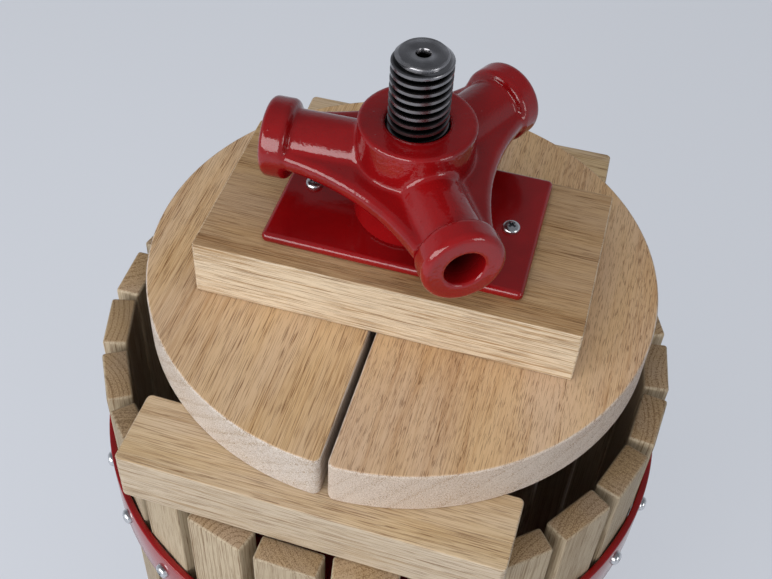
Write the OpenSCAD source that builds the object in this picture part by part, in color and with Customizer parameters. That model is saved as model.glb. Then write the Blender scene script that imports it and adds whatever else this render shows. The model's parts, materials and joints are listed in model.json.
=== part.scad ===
// Screw fruit press: a slatted basket on a three-legged stand with a juice tray.
// A fixed central screw carries a three-socket nut, which bears on a plate and wooden blocks.
// Millimetres, +Z up, origin on the screw axis at the height of the feet's undersides.

/* [Screw] */
// Outside diameter of the press screw's thread
screw_d = 25.5; // [20:0.5:34]
// Length of screw standing above the nut
screw_tip = 33.5; // [8:0.5:60]
// Chamfer at the screw's upper end
screw_chamfer = 3; // [1:0.5:5]
// Centre-drilled hole in the screw's upper end
centre_hole_d = 6; // [3:0.5:8]
// Diameter of the collar that sits on the tray
collar_d = 54; // [44:1:70]
// Height of that collar
collar_h = 10; // [6:1:20]
// Diameter of the threaded shank below the collar
shank_d = 20; // [14:1:24]
// Thickness of the rubber gasket under the collar
gasket_t = 2; // [1:0.5:4]

/* [Nut] */
// Diameter of the nut's hub
hub_d = 50; // [44:0.5:60]
// Height of the hub
hub_h = 50; // [44:0.5:70]
// Height of the sockets' axis above the plate
socket_z = 27; // [24:0.5:36]
// Direction of the first socket
socket_turn = 62.5; // [0:0.5:119.5]
// Bore of each handle socket
socket_d = 17; // [12:0.5:20]
// Depth of each handle socket
socket_depth = 45; // [30:1:46]
// Outside diameter of the socket tubes
tube_d = 27.5; // [24:0.5:32]
// Diameter of the collar round each socket's mouth
flange_d = 35; // [34:0.5:46]
// Thickness of that collar
flange_t = 12; // [6:0.5:14]
// Distance from the screw's axis to a socket's mouth
socket_reach = 64.5; // [58:0.5:90]
// Thickness of the web between the sockets
web_t = 9; // [6:0.5:14]
// Distance from the axis to the middle of the web's edge
web_waist = 34.5; // [30:0.5:40]
// Half width of the web where it meets a socket's collar
web_half_w = 16; // [14:0.5:17]

/* [Pressure plate] */
// Width of the plate
plate_w = 115; // [100:1:150]
// Depth of the plate
plate_d = 74; // [60:1:85]
// Thickness of the plate
plate_t = 5; // [3:0.5:8]
// How far the plate's middle lies behind the screw's axis
plate_shift = 1.5; // [-6:0.5:6]
// Distance between the two plate screws
plate_screw_span = 90; // [70:1:98]
// Shank diameter of the plate screws
plate_screw_d = 4.4; // [3:0.2:6]
// Head diameter of the plate screws
plate_screw_head_d = 7.8; // [6:0.2:10]
// Head height of the plate screws
plate_screw_head_h = 2.6; // [2:0.2:4]
// Length of the plate screws below their heads
plate_screw_l = 25; // [15:1:30]

/* [Wooden blocks] */
// Length of the top block
top_block_l = 170.5; // [150:0.5:220]
// Width of the top block
top_block_w = 88; // [78:1:110]
// Height of the top block
top_block_h = 29; // [27:0.5:45]
// Length of the spacer blocks
spacer_l = 169.5; // [150:0.5:220]
// Width of the spacer blocks
spacer_w = 35.5; // [26:0.5:40]
// Height of the spacer blocks
spacer_h = 28; // [20:0.5:45]
// How far the top block's middle lies behind the screw's axis
top_block_shift = -2; // [-6:0.5:6]
// Radius on the top block's and the pressure plate's upright edges
block_round = 1; // [1:0.5:5]
// Radius on the spacers' upright edges
spacer_round = 2.5; // [1:0.5:5]
// How far the front spacer lies inside the basket's outside
spacer_inset_front = 12.5; // [5:0.5:20]
// How far the back spacer lies inside the basket's outside
spacer_inset_back = 6.5; // [5:0.5:20]
// Sideways shift of the front spacer
spacer_shift_front = -7.5; // [-10:0.1:10]
// Sideways shift of the back spacer
spacer_shift_back = -3; // [-10:0.1:10]
// Small turn of the front spacer on the rim
spacer_turn_front = -1.2; // [-3:0.1:3]
// Small turn of the back spacer on the rim
spacer_turn_back = 1.1; // [-3:0.1:3]

/* [Half discs] */
// Room between the half discs and the basket that they go down into
disc_room = 9.25; // [4:0.25:20]
// Sideways shift of the half discs' rim
disc_shift = -1.2; // [-5:0.1:5]
// Thickness of the half discs
disc_t = 24; // [18:0.5:32]
// Gap between the half discs
disc_gap = 3; // [1:0.5:8]
// Where the gap lies beside the screw's axis
disc_gap_x = -3; // [-5:0.5:5]

/* [Basket] */
// Number of slats
slat_count = 25; // [16:1:26]
// Length of a slat
slat_l = 350; // [240:1:420]
// Width of a slat
slat_w = 29; // [20:0.5:30]
// Thickness of a slat
slat_t = 12.5; // [10:0.5:16]
// Radius on the slats' long edges
slat_round = 1.5; // [0.5:0.5:3]
// Inside diameter of the basket
basket_d = 254; // [240:1:320]
// Sideways shift of the loose basket in the tray
basket_shift = -6.5; // [-8:0.5:8]
// How far the loose basket lies behind the tray's middle
basket_back = 1; // [-6:0.5:6]
// Direction of the first slat
slat_turn = 8; // [0:0.5:15]
// Width of the steel hoops
hoop_w = 28; // [20:1:40]
// Thickness of the steel hoops
hoop_t = 3.5; // [2:0.5:5]
// Distance from a slat's end to the middle of the hoop
hoop_inset = 69.5; // [40:0.5:80]
// Shank diameter of the hoop screws
hoop_screw_d = 4; // [3:0.5:5]
// Head diameter of the hoop screws
hoop_screw_head_d = 9; // [7:0.5:12]
// Head height of the hoop screws
hoop_screw_head_h = 3.2; // [2:0.2:4]
// How deep the hoop screws go into a slat
hoop_screw_bite = 10; // [6:0.5:10]

/* [Tray] */
// Height of the tray's floor above the ground
tray_z = 151.5; // [120:0.5:260]
// Thickness of the tray's floor
tray_floor_t = 3; // [2:0.5:5]
// Thickness of the tray's wall
tray_wall_t = 2.5; // [2:0.5:4]
// Height of the tray's wall above its floor
tray_h = 31; // [20:1:38]
// How far the wall leans out
tray_flare = 4; // [0:0.5:10]
// Radius of the rolled rim
tray_bead_r = 3.5; // [2.5:0.5:5]
// Room between the basket and the tray's wall
tray_room = 5; // [4:0.5:12]
// Length of the spout outside the tray
spout_l = 80; // [40:1:120]
// Inside width of the spout at the tray
spout_root_w = 58; // [40:1:80]
// Inside width of the spout at its lip
spout_lip_w = 34; // [20:1:50]
// Height of the spout's sides
spout_h = 21; // [12:1:24]

/* [Stand] */
// Width of each of the three legs
leg_w = 36; // [28:1:50]
// Thickness of a leg
leg_t = 8; // [6:0.5:12]
// How far the feet stand outside the tray
foot_spread = 52; // [20:1:100]
// Length of a foot
foot_l = 50; // [40:1:80]
// Hole in each foot
foot_hole_d = 11; // [6:0.5:14]
// Thickness of the spider's arms
arm_t = 10; // [8:0.5:16]
// Width of the spider's arms
arm_w = 40; // [36:1:56]
// Diameter of the spider's hub
spider_hub_d = 64; // [50:1:90]
// Height of the spider's hub
spider_hub_h = 20; // [14:1:30]
// Diameter of the leg bolts
leg_bolt_d = 10; // [6:1:12]
// Distance between a leg's two bolts
leg_bolt_span = 30; // [24:1:50]
// Outside diameter of the washer under the spider
washer_d = 44; // [36:1:60]
// Thickness of that washer
washer_t = 3; // [2:0.5:5]
// Width across flats of the nut on the screw's foot
foot_nut_w = 30; // [26:1:40]
// Height of that nut
foot_nut_h = 16; // [10:1:24]

/* [Hidden] */
$fn = 96;
// Running clearance of the nut on the screw
run_gap = 0.08;
// Clearance of wood and plate round the screw
guide_gap = 2;
// Clearance of bolts and screws in their holes
hole_gap = 0.2;
// Clearance of a thread in its tapped or screwed hole
thread_gap = 0.05;
// Gap left under each loose piece of the stack
seat_gap = 0.1;
// A cut reaches this far past the face it opens
past = 1;

slat_pitch = 360 / slat_count;
slat_in_r = basket_d / 2;
slat_out_r = slat_in_r + slat_t;
slat_corner_r = norm([slat_out_r, slat_w / 2 - slat_round]) + slat_round * 0.1;
hoop_in_r = slat_corner_r + 0.2;
hoop_out_r = hoop_in_r + hoop_t;
hoop_low_z = tray_z + hoop_inset;
rim_z = tray_z + slat_l;
hoop_high_z = rim_z - hoop_inset;

disc_d = basket_d - 2 * disc_room;
spacer_z = rim_z + seat_gap;
disc_z = spacer_z + spacer_h + seat_gap;
top_block_z = disc_z + disc_t + seat_gap;
plate_z = top_block_z + top_block_h;
nut_z = plate_z + plate_t;
screw_top_z = nut_z + hub_h + screw_tip;
guide_r = screw_d / 2 + guide_gap;

tray_r = slat_corner_r + norm([basket_shift, basket_back]) + tray_room;
tray_out_r = tray_r + tray_flare + tray_wall_t + tray_bead_r;
tray_low_z = tray_z - tray_floor_t;
shank_hole_r = shank_d / 2 + hole_gap;

arm_low_z = tray_low_z - arm_t;
arm_reach = tray_r - 12;
leg_turns = [90, 210, 330];
leg_bolt_rs = [arm_reach - 15 - leg_bolt_span, arm_reach - 15];
leg_knee_r = tray_out_r;
foot_r = tray_out_r + foot_spread;
foot_hole_r = foot_r + foot_l / 2;
leg_slant_t = leg_t * norm([foot_r - leg_knee_r, arm_low_z]) / arm_low_z;
leg_lug_r = leg_bolt_rs[0] - 15;
hub_low_z = tray_low_z - spider_hub_h;
washer_z = hub_low_z - washer_t;
foot_nut_z = washer_z - foot_nut_h;
shank_end = 5;

socket_turns = [for (i = [0:2]) socket_turn + i * 120];
web_end_r = socket_reach - flange_t / 2;
web_corner = [web_end_r * cos(60) + web_half_w * sin(60), web_end_r * sin(60) - web_half_w * cos(60)];
web_sag = web_corner[0] - web_waist;
web_arc_r = (web_corner[1] * web_corner[1] + web_sag * web_sag) / (2 * web_sag);

red_paint = "#a3181c";
oak = "#c8a676";
beech = "#d2b083";
dark_steel = "#55504b";
zinc = "#c9ccd0";
rubber_black = "#222222";

function slat_name(i) = str("slat_", i < 10 ? "0" : "", i);
slat_names = [for (i = [1:slat_count]) slat_name(i)];

// A rectangle with rounded corners, centred
module rounded_rect(w, d, r) {
    square([w - 2 * r, d], center = true);
    square([w, d - 2 * r], center = true);
    for (x = [-1, 1], y = [-1, 1])
        translate([x * (w / 2 - r), y * (d / 2 - r)])
            circle(r);
}

// A round bar with rounded edges at both ends, standing on z = 0
module rounded_drum(d, h, r) {
    rotate_extrude() {
        square([d / 2 - r, h]);
        translate([0, r])
            square([d / 2, h - 2 * r]);
        for (z = [r, h - r])
            translate([d / 2 - r, z])
                circle(r);
    }
}

// A low dome, flat side on z = 0
module dome(d, h) {
    ball_r = (d * d / 4 + h * h) / (2 * h);
    intersection() {
        translate([0, 0, h - ball_r])
            sphere(ball_r);
        cylinder(d = d, h = h);
    }
}

// Places its children at each leg, with +X pointing out along the leg
module at_leg(i) {
    rotate([0, 0, leg_turns[i]])
        children();
}

// A bent flat-bar leg: lug under the spider's arm, slanting bar and foot
module leg(i) {
    color(red_paint)
        at_leg(i)
            difference() {
                rotate([90, 0, 0])
                    linear_extrude(leg_w, center = true)
                        leg_side();
                for (r = leg_bolt_rs)
                    translate([r, 0, arm_low_z - leg_t - past])
                        cylinder(d = leg_bolt_d + 2 * hole_gap, h = leg_t + 2 * past);
                translate([foot_hole_r, 0, -past])
                    cylinder(d = foot_hole_d, h = leg_t + 2 * past);
            }
}

// Side view of a leg: distance from the screw's axis, height
module leg_side() {
    slope = (foot_r - leg_knee_r) / arm_low_z;
    lug_low_z = arm_low_z - leg_t;
    polygon([
        [leg_lug_r, lug_low_z],
        [leg_lug_r, arm_low_z],
        [leg_knee_r, arm_low_z],
        [foot_r - slope * leg_t, leg_t],
        [foot_r + foot_l, leg_t],
        [foot_r + foot_l, 0],
        [foot_r - leg_slant_t, 0],
        [leg_knee_r - leg_slant_t + slope * leg_t, lug_low_z]
    ]);
}

// Hexagon bolts from below, through the legs' lugs into the spider's arms
module leg_bolts() {
    head_h = leg_bolt_d * 0.65;
    head_w = leg_bolt_d * 1.7;
    color(zinc)
        for (i = [0:2], r = leg_bolt_rs)
            at_leg(i)
                translate([r, 0, arm_low_z - leg_t]) {
                    translate([0, 0, -head_h])
                        cylinder(d = head_w / cos(30), h = head_h, $fn = 6);
                    cylinder(d = leg_bolt_d, h = leg_t + arm_t - past);
                }
}

// Cast hub with three arms, under the tray
module stand_spider() {
    color(red_paint)
        difference() {
            union() {
                translate([0, 0, hub_low_z])
                    cylinder(d = spider_hub_d, h = spider_hub_h);
                for (i = [0:2])
                    at_leg(i)
                        translate([0, -arm_w / 2, arm_low_z])
                            cube([arm_reach, arm_w, arm_t]);
            }
            translate([0, 0, hub_low_z - past])
                cylinder(r = shank_hole_r, h = spider_hub_h + 2 * past);
            for (i = [0:2], r = leg_bolt_rs)
                at_leg(i)
                    translate([r, 0, arm_low_z - past])
                        cylinder(d = leg_bolt_d + 2 * thread_gap, h = arm_t + past);
        }
}

// Pressed steel tray with a rolled rim and an open spout towards -Y
module juice_tray() {
    color(red_paint)
        difference() {
            union() {
                rotate_extrude()
                    tray_section();
                translate([0, 0, tray_low_z])
                    linear_extrude(tray_floor_t + spout_h)
                        spout_plan(spout_root_w + 2 * tray_wall_t, spout_lip_w + 2 * tray_wall_t, 0);
            }
            translate([0, 0, tray_z])
                linear_extrude(spout_h + past)
                    spout_plan(spout_root_w, spout_lip_w, past);
            translate([0, 0, tray_z])
                cylinder(r = tray_r, h = spout_h + past);
        }
}

// Half section of the tray: floor, leaning wall and rolled rim
module tray_section() {
    wall_top = tray_z + tray_h;
    translate([shank_hole_r, tray_low_z])
        square([tray_r + tray_wall_t - shank_hole_r, tray_floor_t]);
    polygon([
        [tray_r, tray_low_z],
        [tray_r + tray_wall_t, tray_low_z],
        [tray_r + tray_flare + tray_wall_t, wall_top],
        [tray_r + tray_flare, wall_top]
    ]);
    translate([tray_r + tray_flare + tray_wall_t / 2, wall_top])
        circle(tray_bead_r);
}

// Plan of the spout, narrowing away from the tray
module spout_plan(root_w, lip_w, lip_past) {
    root_y = -tray_r + 12;
    lip_y = -tray_out_r - spout_l;
    polygon([
        [-root_w / 2, root_y],
        [-lip_w / 2, lip_y],
        [-lip_w / 2, lip_y - lip_past],
        [lip_w / 2, lip_y - lip_past],
        [lip_w / 2, lip_y],
        [root_w / 2, root_y]
    ]);
}

// Rubber gasket between the screw's collar and the tray
module screw_gasket() {
    color(rubber_black)
        translate([0, 0, tray_z])
            difference() {
                cylinder(d = collar_d, h = gasket_t);
                translate([0, 0, -past])
                    cylinder(r = shank_hole_r, h = gasket_t + 2 * past);
            }
}

// Fixed press screw at its thread's outside diameter, with collar and shank
module press_screw() {
    collar_z = tray_z + gasket_t;
    low_z = foot_nut_z - shank_end;
    color(dark_steel)
        difference() {
            union() {
                translate([0, 0, low_z])
                    cylinder(d = shank_d, h = collar_z - low_z);
                translate([0, 0, collar_z])
                    cylinder(d = collar_d, h = collar_h);
                translate([0, 0, collar_z])
                    cylinder(d = screw_d, h = screw_top_z - screw_chamfer - collar_z);
                translate([0, 0, screw_top_z - screw_chamfer])
                    cylinder(d1 = screw_d, d2 = screw_d - 2 * screw_chamfer, h = screw_chamfer);
            }
            translate([0, 0, screw_top_z - centre_hole_d])
                cylinder(d = centre_hole_d, h = centre_hole_d + past);
        }
}

// Washer under the spider's hub
module screw_washer() {
    color(zinc)
        translate([0, 0, washer_z])
            difference() {
                cylinder(d = washer_d, h = washer_t);
                translate([0, 0, -past])
                    cylinder(r = shank_hole_r, h = washer_t + 2 * past);
            }
}

// Hexagon nut that holds the screw down
module screw_foot_nut() {
    color(zinc)
        translate([0, 0, foot_nut_z])
            difference() {
                cylinder(d = foot_nut_w / cos(30), h = foot_nut_h, $fn = 6);
                translate([0, 0, -past])
                    cylinder(d = shank_d + 2 * thread_gap, h = foot_nut_h + 2 * past);
            }
}

// Places its children at a slat, with +X pointing out of the basket
module at_slat(i) {
    translate([basket_shift, basket_back, 0])
        rotate([0, 0, slat_turn + (i - 1) * slat_pitch])
            children();
}

// One upright slat with its two screw holes
module slat(i) {
    color(oak)
        at_slat(i)
            difference() {
                translate([slat_in_r + slat_t / 2, 0, tray_z])
                    linear_extrude(slat_l)
                        rounded_rect(slat_t, slat_w, slat_round);
                for (z = [hoop_low_z, hoop_high_z])
                    translate([slat_out_r - hoop_screw_bite - past, 0, z])
                        rotate([0, 90, 0])
                            cylinder(d = hoop_screw_d + 2 * thread_gap, h = hoop_screw_bite + 2 * past);
            }
}

// Flat steel hoop round the outside of the slats, drilled at each slat
module hoop(z) {
    color(red_paint)
        difference() {
            translate([basket_shift, basket_back, z - hoop_w / 2])
                rotate_extrude()
                    translate([hoop_in_r, 0])
                        square([hoop_t, hoop_w]);
            for (i = [1:slat_count])
                at_slat(i)
                    translate([hoop_in_r - past, 0, z])
                        rotate([0, 90, 0])
                            cylinder(d = hoop_screw_d + 2 * hole_gap, h = hoop_t + 2 * past);
        }
}

// Round-headed screws through a hoop, one into each slat
module hoop_screws(z) {
    tip_r = slat_out_r - hoop_screw_bite;
    color(zinc)
        for (i = [1:slat_count])
            at_slat(i)
                translate([0, 0, z])
                    rotate([0, 90, 0]) {
                        translate([0, 0, tip_r])
                            cylinder(d = hoop_screw_d, h = hoop_out_r - tip_r + past);
                        translate([0, 0, hoop_out_r])
                            dome(hoop_screw_head_d, hoop_screw_head_h);
                    }
}

// One spacer block lying across the basket's rim
module spacer(x, y, turn) {
    color(beech)
        translate([x, y, spacer_z])
            rotate([0, 0, turn])
                linear_extrude(spacer_h)
                    rounded_rect(spacer_l, spacer_w, spacer_round);
}

module spacer_front() {
    spacer(spacer_shift_front, spacer_inset_front + spacer_w / 2 - slat_out_r, spacer_turn_front);
}

module spacer_back() {
    spacer(spacer_shift_back, slat_out_r - spacer_inset_back - spacer_w / 2, spacer_turn_back);
}

// A half disc: side -1 lies to the left of the screw and 1 to the right
module half_disc(side) {
    edge_x = disc_gap_x + side * disc_gap / 2;
    color(oak)
        translate([0, 0, disc_z])
            linear_extrude(disc_t)
                difference() {
                    intersection() {
                        translate([disc_shift, 0])
                            circle(d = disc_d);
                        translate([side > 0 ? edge_x : edge_x - disc_d, -disc_d / 2 - past])
                            square([disc_d, disc_d + 2 * past]);
                    }
                    circle(guide_r);
                }
}

// Places its children at the two plate screws, on top of the plate
module at_plate_screws() {
    for (x = [-1, 1])
        translate([x * plate_screw_span / 2, plate_shift, nut_z])
            children();
}

// Top block under the plate, bored for the screw
module top_block() {
    color(oak)
        difference() {
            translate([0, 0, top_block_z])
                linear_extrude(top_block_h)
                    difference() {
                        translate([0, top_block_shift])
                            rounded_rect(top_block_l, top_block_w, block_round);
                        circle(guide_r);
                    }
            at_plate_screws()
                translate([0, 0, -plate_screw_l - past])
                    cylinder(d = plate_screw_d + 2 * thread_gap, h = plate_screw_l + past);
        }
}

// Steel pressure plate that the nut turns on
module pressure_plate() {
    color(red_paint)
        difference() {
            translate([0, 0, plate_z])
                linear_extrude(plate_t)
                    difference() {
                        translate([0, plate_shift])
                            rounded_rect(plate_w, plate_d, block_round);
                        circle(screw_d / 2 + guide_gap / 2);
                    }
            at_plate_screws()
                translate([0, 0, -plate_t - past])
                    cylinder(d = plate_screw_d + 2 * hole_gap, h = plate_t + 2 * past);
        }
}

// Pan-head wood screws that hold the plate to the top block
module plate_screws() {
    color(zinc)
        at_plate_screws() {
            dome(plate_screw_head_d, plate_screw_head_h);
            translate([0, 0, -plate_screw_l])
                cylinder(d = plate_screw_d, h = plate_screw_l + plate_screw_head_h / 2);
        }
}

// Places its children at a nut socket, with +Z pointing out of its mouth
module at_socket(turn) {
    translate([0, 0, nut_z + socket_z])
        rotate([0, 0, turn])
            rotate([0, 90, 0])
                children();
}

// Cast nut: hub, three handle sockets with collars, and the web between them
module press_nut() {
    edge_round = 2;
    flange_round = 3.5;
    tube_root = (hub_d + screw_d) / 4;
    color(red_paint)
        difference() {
            union() {
                translate([0, 0, nut_z])
                    rounded_drum(hub_d, hub_h, edge_round);
                for (turn = socket_turns)
                    at_socket(turn) {
                        translate([0, 0, tube_root])
                            cylinder(d = tube_d, h = socket_reach - flange_round - tube_root);
                        translate([0, 0, socket_reach - flange_t])
                            rounded_drum(flange_d, flange_t, flange_round);
                    }
                translate([0, 0, nut_z + socket_z - web_t / 2])
                    linear_extrude(web_t)
                        web_outline();
            }
            translate([0, 0, nut_z - past])
                cylinder(r = screw_d / 2 + run_gap, h = hub_h + 2 * past);
            for (turn = socket_turns)
                at_socket(turn)
                    translate([0, 0, socket_reach - socket_depth])
                        cylinder(d = socket_d, h = socket_depth + past);
        }
}

// Plan of the web: straight across the sockets, hollowed between them
module web_outline() {
    difference() {
        polygon([
            for (turn = socket_turns, side = [-1, 1])
                [
                    web_end_r * cos(turn) - side * web_half_w * sin(turn),
                    web_end_r * sin(turn) + side * web_half_w * cos(turn)
                ]
        ]);
        for (turn = socket_turns)
            rotate([0, 0, turn + 60])
                translate([web_waist + web_arc_r, 0])
                    circle(web_arc_r, $fn = 180);
    }
}

leg(0);  // leg_back
leg(1);  // leg_left
leg(2);  // leg_right
leg_bolts();
stand_spider();
juice_tray();
screw_gasket();
press_screw();
screw_washer();
screw_foot_nut();
for (i = [1:slat_count])
    slat(i);
hoop(hoop_high_z);  // hoop_top
hoop(hoop_low_z);  // hoop_bottom
hoop_screws(hoop_high_z);  // hoop_screws_top
hoop_screws(hoop_low_z);  // hoop_screws_bottom
spacer_front();
spacer_back();
half_disc(-1);  // disc_left
half_disc(1);  // disc_right
top_block();
pressure_plate();
plate_screws();
press_nut();
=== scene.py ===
import json
import math
from functools import partial

import bmesh
import bpy
import numpy as np
from mathutils import Matrix, Vector


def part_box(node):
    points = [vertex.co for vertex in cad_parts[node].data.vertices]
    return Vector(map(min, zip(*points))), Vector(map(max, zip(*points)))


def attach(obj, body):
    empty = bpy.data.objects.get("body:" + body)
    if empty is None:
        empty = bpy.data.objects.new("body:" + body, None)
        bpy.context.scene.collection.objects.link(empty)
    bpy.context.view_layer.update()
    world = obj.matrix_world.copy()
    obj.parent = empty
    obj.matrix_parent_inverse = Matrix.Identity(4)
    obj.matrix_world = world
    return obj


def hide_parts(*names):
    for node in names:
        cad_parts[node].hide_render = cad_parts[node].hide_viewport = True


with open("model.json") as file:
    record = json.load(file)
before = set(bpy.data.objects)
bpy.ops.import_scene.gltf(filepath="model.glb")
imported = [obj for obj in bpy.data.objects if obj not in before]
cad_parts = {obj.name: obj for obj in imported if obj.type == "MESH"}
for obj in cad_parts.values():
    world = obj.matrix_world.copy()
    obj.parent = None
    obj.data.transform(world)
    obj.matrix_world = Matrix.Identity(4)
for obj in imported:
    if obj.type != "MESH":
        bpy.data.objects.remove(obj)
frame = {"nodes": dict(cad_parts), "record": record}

bl_info = {
    "name": "Fruit press",
    "version": (1, 0, 0),
    "blender": (4, 5, 0),
    "location": "View3D > Sidebar > Fruit press",
    "description": "Builds the detailed pieces of a basket fruit press on its CAD frame",
    "category": "Object",
}

MM = 0.001
# CAD triangles are merged within one distance, and the seams and slivers of built meshes within another
MERGE = 0.002 * MM
SEAM = 0.01 * MM
# Faces that meet more steeply than this have a corner between them
STEEP = math.radians(60)
# Each slat comes from its own place in a trunk: along it, and across it
TRUNK_MM = 4000
LOT_MM = 70
SLATS = sorted(name for name in frame["nodes"] if name.startswith("slat_"))

# The span that most of a noise's values lie in
NOISE_SPAN = (0.3, 0.7)

# The kinds of node that are used most
MATH = "ShaderNodeMath"
VECTOR_MATH = "ShaderNodeVectorMath"
MAP_RANGE = "ShaderNodeMapRange"
NOISE = "ShaderNodeTexNoise"
MIX = "ShaderNodeMix"

# Where the camera stood, in metres and radians, fitted to the edges in the photograph
PHOTO_WIDTH_PX = 772
FOCAL_PX = 1131.7
SENSOR_WIDTH_MM = 36
CAMERA_PLACE = Vector((0.07197, -0.35457, 0.9337))
CAMERA_AZIMUTH = math.radians(11.47)
CAMERA_ELEVATION = math.radians(46.41)
CAMERA_YAW = -0.0158
CAMERA_PITCH = 0.0261
CAMERA_ROLL = -0.0833


def srgb(code):
    """Turns an sRGB hex code into linear red, green and blue."""
    parts = [int(code[i:i + 2], 16) / 255 for i in (0, 2, 4)]
    return tuple(c / 12.92 if c <= 0.04045 else ((c + 0.055) / 1.055) ** 2.4 for c in parts)


def rgba(colour):
    """Adds full opacity to a colour, as node sockets want it."""
    return (*colour, 1)


def length(name, description, millimetres):
    """A size that a user may change, written in millimetres."""
    return bpy.props.FloatProperty(
        name=name, description=description, default=millimetres * MM, min=0, precision=5, unit="LENGTH")


def colour(name, description, code):
    """A colour that a user may change, written as an sRGB hex code."""
    return bpy.props.FloatVectorProperty(
        name=name, description=description, default=srgb(code), min=0, max=1, size=3, subtype="COLOR")


class PressSizes(bpy.types.PropertyGroup):
    """The sizes of the press's details"""
    hub_radius: length("Hub radius", "Radius of the nut's round hub", 25)
    hub_edge: length("Hub edge", "Rounding of the hub's top edge", 1.2)
    tube_radius: length("Tube radius", "Radius of a handle socket's tube", 13.75)
    socket_height: length("Socket height", "Height of the socket axes above the plate", 27)
    socket_turn: bpy.props.FloatProperty(
        name="Socket turn", description="Direction of the first handle socket", default=math.radians(62.5),
        subtype="ANGLE")
    socket_reach: length("Socket reach", "Distance from the screw's axis to a socket's mouth", 64.5)
    socket_depth: length("Socket depth", "Depth of a socket's bore", 45)
    socket_radius: length("Socket bore", "Radius of a socket's bore", 8.5)
    flange_radius: length("Flange radius", "Radius of the collar at a socket's mouth", 17.5)
    flange_length: length("Flange length", "Length of the collar at a socket's mouth", 12)
    web_thickness: length("Web thickness", "Thickness of the web between the sockets", 9)
    web_waist: length("Web waist", "Web's reach halfway between two sockets", 34.5)
    web_half_width: length("Web half width", "Half the web's width at a socket's mouth", 16)
    casting_fillet: length("Casting fillet", "Reach of the fillets where the casting's shapes meet", 2.6)
    casting_step: length("Casting step", "Size of the cells that the casting's skin is made from", 1)
    screw_radius: length("Screw radius", "Radius of the thread's crest", 12.75)
    thread_pitch: length("Thread pitch", "Rise of one turn of the thread", 4)
    thread_depth: length("Thread depth", "Depth of the thread's groove", 2.1)
    thread_chamfer: length("Screw chamfer", "Chamfer on the screw's upper end", 3)
    centre_hole_radius: length("Centre hole", "Radius of the lathe centre hole in the screw's end", 3)
    slat_width: length("Slat width", "Width of a basket slat", 29)
    slat_thickness: length("Slat thickness", "Thickness of a basket slat", 12.5)
    slat_edge: length("Slat edge", "Rounding of a slat's edges", 1.5)
    hoop_thickness: length("Hoop thickness", "Thickness of the band round the basket", 3.5)
    hoop_edge: length("Hoop edge", "Rounding of the band's edges", 0.9)
    block_edge: length("Block edge", "Rounding of the block's and spacers' edges", 0.8)
    block_corner: length("Block corner", "Rounding of the top block's upright corners", 1.2)
    disc_edge: length("Disc edge", "Rounding of the half discs' edges", 1.0)
    disc_corner: length("Disc corner", "Rounding of the half discs' corners at their gap", 3.5)
    plate_edge: length("Plate edge", "Rounding of the pressure plate's edges under paint", 2.2)
    plate_corner: length("Plate corner", "Rounding of the pressure plate's upright corners", 2.5)
    paint_edge: length("Painted edge", "Rounding of the legs' and spider's edges under paint", 0.9)
    hardware_edge: length("Hardware edge", "Rounding of nuts, bolts and washers", 0.5)
    hoop_head_radius: length("Hoop screw head", "Radius of a hoop screw's head", 3.8)
    hoop_head_height: length("Hoop screw height", "Height of a hoop screw's head", 2.9)
    plate_head_radius: length("Plate screw head", "Radius of a plate screw's head", 3.9)
    plate_head_height: length("Plate screw height", "Height of a plate screw's head", 2.6)


class PressColours(bpy.types.PropertyGroup):
    """The colours of the press's finishes and of the floor"""
    enamel: colour("Enamel", "Red enamel on the nut, plate, hoops and stand", "890c0f")
    enamel_deep: colour("Deep enamel", "Enamel where it lies thicker", "6e070a")
    steel: colour("Screw steel", "Turned steel of the screw", "8a898b")
    zinc: colour("Zinc", "Bright zinc on the screws, bolts and nut", "d6d8da")
    rubber: colour("Rubber", "Gasket under the screw's collar", "1b1b1c")
    block_late: colour("Block late wood", "Pale, dense wood of the top block's sides", "d4c2a8")
    block_early: colour("Block early wood", "Porous growth lines in the top block", "a08059")
    oak_late: colour("Oak late wood", "Pale, dense wood of the left half disc", "d0c6bd")
    oak_early: colour("Oak early wood", "Porous growth lines in the left half disc", "aa9277")
    beech_late: colour("Beech late wood", "Pale, dense wood of the right half disc", "cfc1b4")
    beech_early: colour("Beech early wood", "Growth lines in the right half disc", "ad9177")
    spacer_late: colour("Spacer late wood", "Pale, dense wood of the spacers", "c1b19b")
    spacer_early: colour("Spacer early wood", "Porous growth lines in the spacers", "9f8666")
    slat_late: colour("Slat late wood", "Pale, dense wood of the slats", "b2a289")
    slat_early: colour("Slat early wood", "Porous growth lines in the slats", "7b6547")
    # The pore colour also darkens the slats' inner faces, as painted shade
    pore: colour("Pore", "Open pores in the wood", "6d5036")
    floor: colour("Floor", "Plain studio floor", "c6cad2")


def settings(context):
    """The press's sizes and colours."""
    return context.scene.press_sizes, context.scene.press_colours


def add(tree, kind, *inputs, **properties):
    """Adds a node, sets its properties, and fills its inputs with values, sockets or nodes' first outputs.

    Inputs come in order, or in a dict by name or number. A Map Range's are the value, the two ends that it
    runs between, and the two ends of the result. A Mix's 6 and 7 are its colours.
    """
    node = tree.nodes.new(kind)
    for key, value in properties.items():
        setattr(node, key, value)
    filled = {}
    for number, given in enumerate(inputs):
        filled.update(given if isinstance(given, dict) else {number: given})
    for key, value in filled.items():
        if isinstance(value, bpy.types.Node):
            value = value.outputs[0]
        if isinstance(value, bpy.types.NodeSocket):
            tree.links.new(value, node.inputs[key])
        else:
            node.inputs[key].default_value = value
    return node


def new_material(name):
    """Makes an empty node material, and returns it with the function that adds nodes to it."""
    material = bpy.data.materials.new(name)
    material.use_nodes = True
    material.node_tree.nodes.clear()
    return material, partial(add, material.node_tree)


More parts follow.
